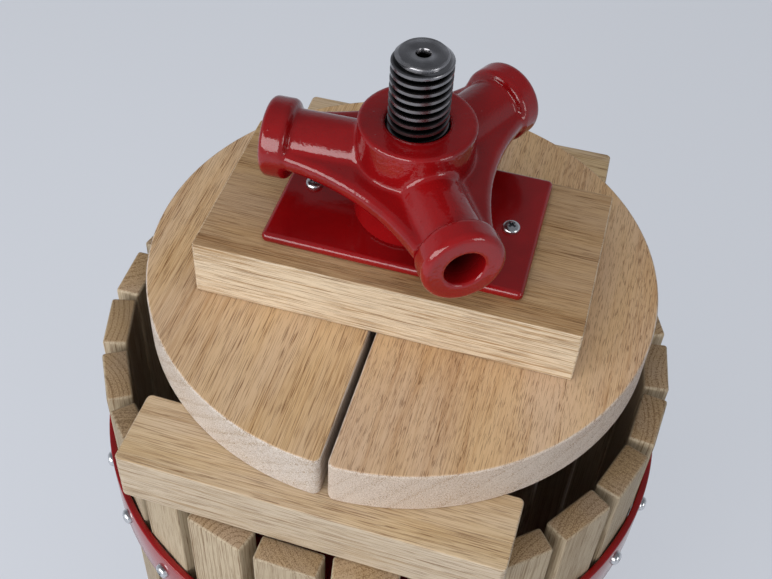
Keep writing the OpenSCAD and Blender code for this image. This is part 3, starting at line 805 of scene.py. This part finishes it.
def skin(field, low, high, step):
    """Wraps a distance field in quads: one vertex in each cell that the surface crosses, eased onto it."""
    easings, pulls = (0, 0.5, 0.5, 0.5), 3
    counts = [int(math.ceil((b - a) / step)) + 1 for a, b in zip(low, high)]
    grid = np.stack(np.meshgrid(*(np.arange(n) for n in counts), indexing="ij"), axis=-1)
    inside = field(grid.reshape(-1, 3) * step + low).reshape(counts) < 0
    full = np.zeros([n - 1 for n in counts], dtype=int)
    for i, j, k in np.ndindex(2, 2, 2):
        full += inside[i:counts[0] - 1 + i, j:counts[1] - 1 + j, k:counts[2] - 1 + k]
    crossed = (full > 0) & (full < 8)
    index = np.full(full.shape, -1)
    index[crossed] = np.arange(crossed.sum())
    # Each grid edge that the surface crosses gets a quad between the four cells round it
    quads = []
    for axis in range(3):
        one, two = (axis + 1) % 3, (axis + 2) % 3
        first = np.take(inside, range(counts[axis] - 1), axis)
        second = np.take(inside, range(1, counts[axis]), axis)
        for leaving in (True, False):
            edges = np.argwhere(first & ~second if leaving else ~first & second)
            ring = []
            for step_one, step_two in ((-1, -1), (0, -1), (0, 0), (-1, 0)):
                cells = edges.copy()
                cells[:, one] += step_one
                cells[:, two] += step_two
                ring.append(index[tuple(cells.T)])
            quad = np.stack(ring, axis=1)
            quads.append(quad if leaving else quad[:, ::-1])
    quads = np.concatenate(quads)

    # Vertices start in the middle of their cells, and are evened out and pulled to the surface in turn
    points = (np.argwhere(crossed) + 0.5) * step + low
    ends = np.concatenate([quads[:, [i, (i + 1) % 4]] for i in range(4)])
    neighbours = np.bincount(ends[:, 0], minlength=len(points))[:, None]
    for easing in easings:
        if easing:
            total = np.zeros_like(points)
            np.add.at(total, ends[:, 0], points[ends[:, 1]])
            points += easing * (total / neighbours - points)
        for _ in range(pulls):
            points = pull(field, points, step)
    return points, quads


def pull(field, points, step):
    """Moves points along the field's slope towards the surface."""
    probes = step * 0.05 * np.eye(3)
    slope = np.stack([field(points + probe) - field(points - probe) for probe in probes], axis=1)
    slope /= np.maximum(np.linalg.norm(slope, axis=1, keepdims=True), 1e-12)
    return points - np.clip(field(points), -step, step)[:, None] * slope


class PRESS_OT_stage(bpy.types.Operator):
    """Sets up the floor, the soft studio light and the photograph's camera"""
    bl_idname = "press.stage"
    bl_label = "Stage"

    def execute(self, context):
        scene = context.scene
        scene.view_settings.view_transform = "Standard"
        floor_size = 12
        shape = bmesh.new()
        bmesh.ops.create_grid(shape, x_segments=1, y_segments=1, size=floor_size / 2)
        mesh = write_mesh(shape, bpy.data.meshes.new("studio_floor"))
        floor = link("studio_floor", mesh)
        mesh.materials.append(self.floor_paint(scene.press_colours.floor))

        scene.world = self.studio(scene.press_colours.floor)

        # The ceiling's light isn't mirrored, because its image would lie across the plate
        target = Vector((0, 0, 0.58))
        self.softbox("key_softbox", (-0.8, -1.6, 1.1), target, width=2.2, height=1.05, watts=36)
        self.softbox("ceiling_softbox", (0, -0.6, 2.6), target, width=3, height=3, watts=26, mirrored=False)
        self.softbox("side_softbox", (1.5, -0.7, 0.95), target, width=0.5, height=0.8, watts=5)

        camera = bpy.data.objects.new("photo_camera", bpy.data.cameras.new("photo_camera"))
        scene.collection.objects.link(camera)
        camera.data.sensor_fit = "HORIZONTAL"
        camera.data.sensor_width = SENSOR_WIDTH_MM
        camera.data.lens = FOCAL_PX * SENSOR_WIDTH_MM / PHOTO_WIDTH_PX
        camera.data.clip_start = 0.01
        camera.matrix_world = Matrix.Translation(CAMERA_PLACE) @ self.camera_turn().to_4x4()
        scene.camera = camera
        return {"FINISHED"}

    def seen_rays(self, put):
        """A node that gives 1 to what is seen, straight or in glossy and clear surfaces, and 0 to light."""
        path = put("ShaderNodeLightPath").outputs
        straight = put(MATH, path["Is Camera Ray"], path["Is Glossy Ray"], operation="ADD")
        return put(MATH, straight, path["Is Transmission Ray"], operation="ADD", use_clamp=True)

    def studio(self, tone):
        """A dim, even fill, behind which pale walls as light as the floor rise to a dim ceiling."""
        fill_tone, fill_strength, wall_strength, ceiling_strength = srgb("e4e8ee"), 0.24, 0.74, 0.33
        world = bpy.data.worlds.new("studio")
        world.use_nodes = True
        world.node_tree.nodes.clear()
        put = partial(add, world.node_tree)
        fill = put("ShaderNodeBackground", {"Color": rgba(fill_tone), "Strength": fill_strength})
        way = put("ShaderNodeSeparateXYZ", put("ShaderNodeTexCoord").outputs["Generated"])
        wall = put(MAP_RANGE, way.outputs[2], 0.3, 0.6, wall_strength, ceiling_strength)
        walls = put("ShaderNodeBackground", {"Color": rgba(tone), "Strength": wall})
        both = put("ShaderNodeMixShader", self.seen_rays(put), fill, walls)
        put("ShaderNodeOutputWorld", {"Surface": both})
        return world

    def floor_paint(self, tone):
        """A plain matt floor that looks as pale as its colour to the camera, and keeps the press's shadow."""
        glow_strength, matt_share = 0.69, 0.5
        material, put = new_material("matt_floor_paint")
        lift = put(MATH, self.seen_rays(put), glow_strength, operation="MULTIPLY")
        matt = put("ShaderNodeBsdfDiffuse", {"Color": rgba(Vector(tone) * matt_share)})
        glow = put("ShaderNodeEmission", {"Color": rgba(tone), "Strength": lift})
        both = put("ShaderNodeAddShader", matt, glow)
        put("ShaderNodeOutputMaterial", {"Surface": both})
        return material

    def softbox(self, name, place, target, width, height, watts, mirrored=True):
        """Adds an oblong area light that faces the target, and shows in glossy surfaces if mirrored."""
        light = bpy.data.lights.new(name, "AREA")
        light.shape = "RECTANGLE"
        light.size = width
        light.size_y = height
        light.energy = watts
        lamp = bpy.data.objects.new(name, light)
        lamp.location = place
        lamp.visible_glossy = mirrored
        lamp.rotation_euler = (target - Vector(place)).to_track_quat("-Z", "Y").to_euler()
        bpy.context.scene.collection.objects.link(lamp)

    def camera_turn(self):
        """The camera's rotation: looking at the screw's axis, then yawed, pitched and rolled a little."""
        a, e = CAMERA_AZIMUTH, CAMERA_ELEVATION
        back = Vector((math.sin(a) * math.cos(e), -math.cos(a) * math.cos(e), math.sin(e)))
        right = Vector((math.cos(a), math.sin(a), 0))
        aim = Matrix((right, back.cross(right), back))
        yaw = Matrix.Rotation(CAMERA_YAW, 3, "Y")
        pitch = Matrix.Rotation(CAMERA_PITCH, 3, "X")
        roll = Matrix.Rotation(CAMERA_ROLL, 3, "Z")
        return (roll @ pitch @ yaw @ aim).transposed()


class PRESS_OT_nut(bpy.types.Operator):
    """Casts the press nut: hub, three handle sockets and the web between them"""
    bl_idname = "press.nut"
    bl_label = "Press nut"

    def execute(self, context):
        sizes, colours = settings(context)
        low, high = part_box("press_nut")
        sockets = [m for m in frame["record"]["mounts"] if m["name"].startswith("handle_socket")]
        turns = [sizes.socket_turn + 2 * math.pi * i / len(sockets) for i in range(len(sockets))]
        margin = 3 * sizes.casting_step
        foot = Vector((0, 0, low.z))
        points, quads = skin(
            lambda p: nut_field(p, sizes, turns, high.z - low.z),
            np.array(low - foot) - margin, np.array(high - foot) + margin, sizes.casting_step)
        mesh = bpy.data.meshes.new("cast_press_nut")
        mesh.from_pydata((points + np.array(foot)).tolist(), [], quads.tolist())
        shade(mesh, angle=180)
        bore = mesh.attributes.new("bore", "FLOAT", "POINT")
        bore.data.foreach_set("value", bore_depth(points, sizes, turns))
        enamel = red_enamel("red_enamel_on_casting", colours, swell_mm=9, peel_mm=1.6, relief_mm=0.09)
        hand_over(link("cast_press_nut", mesh), enamel, "nut", "nut_paint", "press_nut")
        return {"FINISHED"}


class PRESS_OT_screw(bpy.types.Operator):
    """Cuts the press screw: thread, chamfered end with its centre hole, collar and shank"""
    bl_idname = "press.screw"
    bl_label = "Press screw"

    def execute(self, context):
        sizes, colours = settings(context)
        collar_height, overlap, shank, bevel = 10 * MM, 1 * MM, 10 * MM, 1 * MM
        hole, hole_edge, hole_depth, hole_point = sizes.centre_hole_radius, 0.6 * MM, 5 * MM, 7 * MM
        sides, rows = 56, 12
        low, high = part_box("press_screw")
        collar_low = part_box("screw_gasket")[1].z
        collar_top = collar_low + collar_height
        collar_radius = (high.x - low.x) / 2
        steel = turned_steel(colours, sizes.screw_radius, high.z)
        bottom = collar_top - overlap
        turns = math.ceil((high.z - bottom) / sizes.thread_pitch) + 1
        thread = grow(
            "press_screw_thread", thread_tree(), Radius=sizes.screw_radius, Pitch=sizes.thread_pitch,
            Depth=sizes.thread_depth, Chamfer=sizes.thread_chamfer, Bottom=bottom, Top=high.z,
            Turns=turns, Sides=sides, Rows=rows, Material=steel)

        end_radius = sizes.screw_radius - sizes.thread_chamfer
        lower = [
            (0, low.z), (shank - bevel, low.z), (shank, low.z + bevel), (shank, collar_low),
            (collar_radius - bevel, collar_low), (collar_radius, collar_low + bevel),
            (collar_radius, collar_top - bevel), (collar_radius - bevel, collar_top), (0, collar_top)]
        upper = [
            (end_radius, high.z), (hole + hole_edge, high.z), (hole, high.z - hole_edge),
            (hole, high.z - hole_depth), (0, high.z - hole_point)]
        ends = (turned_mesh("screw_foot", lower, sides), turned_mesh("screw_end", upper, sides))
        shape = read_mesh(thread.data, *ends)
        bmesh.ops.remove_doubles(shape, verts=shape.verts, dist=SEAM)
        write_mesh(shape, thread.data)
        shade(thread.data, angle=50)
        hand_over(thread, steel, "stand", "screw_steel", "press_screw")
        return {"FINISHED"}


class PRESS_OT_plate(bpy.types.Operator):
    """Makes the pressure plate and its two cross-slot screws"""
    bl_idname = "press.plate"
    bl_label = "Pressure plate"

    def execute(self, context):
        sizes, colours = settings(context)
        radius, tall = sizes.plate_head_radius, sizes.plate_head_height
        shank, rim, tip, taper, sunk = 2.1 * MM, 0.9 * MM, 4 * MM, 8 * MM, 2 * MM
        plate = rounded_slab(
            "pressure_plate", "rolled_pressure_plate", sizes.plate_edge, sizes.plate_corner, segments=5)
        hand_over(plate, sheet_enamel(colours), "press_head", "steel_paint", "pressure_plate")

        low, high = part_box("plate_screws")
        head = cross_head("plate_screw_heads", radius, tall, rim)
        profile = [(0, low.z), (shank / 2, low.z + tip), (shank, low.z + taper), (shank, high.z - tall),
                   (0, high.z - sunk)]
        pin = turned_mesh("plate_screw_pin", profile, segments=24)
        shape = bmesh.new()
        for side, turn in ((low.x + radius, 0.5), (high.x - radius, 1.1)):
            place = Matrix.Translation((side, (low.y + high.y) / 2, high.z - tall))
            copy = head.data.copy()
            copy.transform(place @ Matrix.Rotation(turn, 4, "Z"))
            shape.from_mesh(copy)
            copy = pin.copy()
            copy.transform(Matrix.Translation((side, (low.y + high.y) / 2, 0)))
            shape.from_mesh(copy)
        write_mesh(shape, head.data)
        shade(head.data)
        hand_over(head, bright_zinc(colours), "press_head", "zinc_steel", "plate_screws")
        return {"FINISHED"}


class PRESS_OT_blocks(bpy.types.Operator):
    """Planes the top block and the two loose spacers"""
    bl_idname = "press.blocks"
    bl_label = "Blocks"

    def execute(self, context):
        sizes, colours = settings(context)
        tones = (colours.block_late, colours.block_early, colours.pore)
        pale = (colours.spacer_late, colours.spacer_early, colours.pore)
        block = rounded_slab("top_block", "planed_top_block", sizes.block_edge, sizes.block_corner)
        # The top block's level faces are tinted darker than its sides: painted shade
        oak = planed_wood(
            "oak_top_block", tones, top_tone_and_light=(0.69, 0.57, 0.46), ring_mm=4.6, ring_depth=0.5,
            pore_mm=(16, 0.36), pore_depth=0.65, pith_mm=(0, 30, -430), turn=(0.03, -0.005, 0.008))
        hand_over(block, oak, "press_head", "block_oak", "top_block")
        # The spacers' level faces are tinted lighter than their sides: painted light
        spacer_oak = planed_wood(
            "oak_spacers", pale, top_tone_and_light=(1.12, 1.05, 0.98), ring_mm=5.5, ring_depth=0.5,
            pore_mm=(18, 0.38), pore_depth=0.7, pith_mm=(0, 130, -410), turn=(-0.02, 0.006, 0.008))
        for side in ("front", "back"):
            spacer = rounded_copy("spacer_" + side, "planed_spacer_" + side, sizes.block_edge)
            hand_over(spacer, spacer_oak, side + "_spacer", "spacer_wood", "spacer_" + side)
        return {"FINISHED"}


class PRESS_OT_discs(bpy.types.Operator):
    """Saws and rounds the two half discs"""
    bl_idname = "press.discs"
    bl_label = "Half discs"

    def execute(self, context):
        sizes, colours = settings(context)
        quarter = -math.pi / 2
        oak_tones = (colours.oak_late, colours.oak_early, colours.pore)
        oak = planed_wood(
            "oak_left_disc", oak_tones, top_tone_and_light=(0.985, 0.78, 0.555), ring_mm=7, ring_depth=0.42,
            pore_mm=(18, 0.35), pore_depth=0.83, pith_mm=(0, 60, -440), turn=(0.012, 0.04, quarter))
        beech_tones = (colours.beech_late, colours.beech_early, colours.pore)
        beech = planed_wood(
            "beech_right_disc", beech_tones, top_tone_and_light=(1, 0.82, 0.63), ring_mm=9, ring_depth=0.34,
            pore_mm=(6, 0.32), pore_depth=0.74, pith_mm=(0, 130, -430), turn=(-0.008, -0.05, quarter))
        for side, wood, slot in (("left", oak, "disc_oak"), ("right", beech, "disc_beech")):
            node = "disc_" + side
            disc = rounded_copy(node, "sawn_disc_" + side, sizes.disc_edge, corner=sizes.disc_corner)
            hand_over(disc, wood, side + "_disc", slot, node)
        return {"FINISHED"}


class PRESS_OT_slats(bpy.types.Operator):
    """Sets the ring of basket slats"""
    bl_idname = "press.slats"
    bl_label = "Basket slats"

    def execute(self, context):
        sizes, colours = settings(context)
        low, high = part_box("slat_01")
        hoop_low, hoop_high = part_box("hoop_top")
        centre = (hoop_low + hoop_high) / 2
        first = (low + high) / 2 - centre
        tall = high.z - low.z
        shape = bmesh.new()
        size = Matrix.Diagonal((sizes.slat_thickness, sizes.slat_width, tall, 1))
        bmesh.ops.create_cube(shape, size=1, matrix=size)
        round_edges(shape, shape.edges[:], sizes.slat_edge, segments=3)
        mesh = write_mesh(shape, bpy.data.meshes.new("slat_blank"))
        grain = mesh.attributes.new("grain", "FLOAT_VECTOR", "POINT")
        for vertex, spot in zip(mesh.vertices, grain.data):
            spot.vector = Vector((vertex.co.z, vertex.co.y, vertex.co.x)) / MM
        shade(mesh)
        blank = link("slat_blank", mesh)
        tones = (colours.slat_late, colours.slat_early, colours.pore)
        oak = planed_wood(
            "oak_slats", tones, top_tone_and_light=(0.88, 0.78, 0.73), ring_mm=2.6, ring_depth=0.75,
            pore_mm=(14, 0.36), pore_depth=0.7, own_grain=True)
        slats = grow(
            "basket_slats", ring_tree(), Blank=blank, Count=len(SLATS), Radius=math.hypot(first.x, first.y),
            First=math.atan2(first.y, first.x), Centre=(centre.x, centre.y, (low.z + high.z) / 2),
            Drop=1.2 * MM, Seed=7, Material=oak)
        bpy.data.objects.remove(blank)
        hand_over(slats, oak, "stand", "slat_oak", *SLATS)
        return {"FINISHED"}


class PRESS_OT_hoops(bpy.types.Operator):
    """Rolls the two hoops and sets their ring of domed screws"""
    bl_idname = "press.hoops"
    bl_label = "Hoops"

    def execute(self, context):
        sizes, colours = settings(context)
        enamel = sheet_enamel(colours)
        zinc = bright_zinc(colours)
        rim, slot_turn = 0.5 * MM, 0.6
        slat_low, slat_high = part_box("slat_01")
        band, ring = band_tree(), bpy.data.node_groups["basket_ring"]
        for level in ("top", "bottom"):
            low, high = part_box("hoop_" + level)
            centre = (low + high) / 2
            outer = (high.x - low.x) / 2
            hoop = grow(
                "rolled_hoop_" + level, band, Radius=outer - sizes.hoop_thickness / 2, Width=high.z - low.z,
                Thickness=sizes.hoop_thickness, Edge=sizes.hoop_edge, Centre=centre, Sides=160,
                Material=enamel)
            hand_over(hoop, enamel, "stand", "steel_paint", "hoop_" + level)

            head = cross_head("hoop_screw_head", sizes.hoop_head_radius, sizes.hoop_head_height, rim)
            head.data.transform(Matrix.Rotation(math.pi / 2, 4, "Y") @ Matrix.Rotation(slot_turn, 4, "Z"))
            first = (slat_low + slat_high) / 2 - centre
            screws = grow(
                "hoop_screw_heads_" + level, ring, Blank=head, Count=len(SLATS), Radius=outer,
                First=math.atan2(first.y, first.x), Centre=centre, Drop=0, Seed=1, Material=zinc)
            bpy.data.objects.remove(head)
            hand_over(screws, zinc, "stand", "zinc_steel", "hoop_screws_" + level)
        return {"FINISHED"}


class PRESS_OT_stand(bpy.types.Operator):
    """Makes the tray, the spider, the legs and what holds them to the screw"""
    bl_idname = "press.stand"
    bl_label = "Stand"

    def execute(self, context):
        sizes, colours = settings(context)
        enamel = sheet_enamel(colours)
        zinc = bright_zinc(colours)
        gasket_edge = 0.3 * MM
        # Short edges on the spider, which the rounding would fold over, are merged away
        merges = {"leg_back": MERGE, "leg_left": MERGE, "leg_right": MERGE, "stand_spider": 0.6 * MM}
        for node, merge in merges.items():
            steel = rounded_copy(node, "welded_" + node, sizes.paint_edge, merge=merge)
            hand_over(steel, enamel, "stand", "stand_paint", node)
        tray = rounded_copy("juice_tray", "pressed_juice_tray", edge=0)
        hand_over(tray, enamel, "stand", "stand_paint", "juice_tray")
        for node in ("leg_bolts", "screw_washer", "screw_foot_nut"):
            plated = rounded_copy(node, "plated_" + node, sizes.hardware_edge, segments=2)
            hand_over(plated, zinc, "stand", "zinc_steel", node)
        gasket = rounded_copy("screw_gasket", "moulded_screw_gasket", gasket_edge, segments=2)
        hand_over(gasket, moulded_rubber(colours), "stand", "gasket_rubber", "screw_gasket")
        return {"FINISHED"}


class PRESS_PT_pieces(bpy.types.Panel):
    """Lists the press's pieces, sizes and colours"""
    bl_label = "Fruit press"
    bl_space_type = "VIEW_3D"
    bl_region_type = "UI"
    bl_category = "Fruit press"

    def draw(self, context):
        for step in STEPS:
            self.layout.operator(step.bl_idname)
        for group in (context.scene.press_sizes, context.scene.press_colours):
            column = self.layout.column(align=True)
            for key in group.__annotations__:
                column.prop(group, key)


STEPS = (PRESS_OT_stage, PRESS_OT_nut, PRESS_OT_screw, PRESS_OT_plate, PRESS_OT_blocks, PRESS_OT_discs,
         PRESS_OT_slats, PRESS_OT_hoops, PRESS_OT_stand)
CLASSES = (PressSizes, PressColours, *STEPS, PRESS_PT_pieces)


def register():
    for item in CLASSES:
        bpy.utils.register_class(item)
    bpy.types.Scene.press_sizes = bpy.props.PointerProperty(type=PressSizes)
    bpy.types.Scene.press_colours = bpy.props.PointerProperty(type=PressColours)


def unregister():
    del bpy.types.Scene.press_colours
    del bpy.types.Scene.press_sizes
    for item in reversed(CLASSES):
        bpy.utils.unregister_class(item)


def main():
    """Builds every piece in order."""
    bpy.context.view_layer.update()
    register()
    bpy.ops.press.stage()
    bpy.ops.press.nut()
    bpy.ops.press.screw()
    bpy.ops.press.plate()
    bpy.ops.press.blocks()
    bpy.ops.press.discs()
    bpy.ops.press.slats()
    bpy.ops.press.hoops()
    bpy.ops.press.stand()


if __name__ == "__main__":
    main()
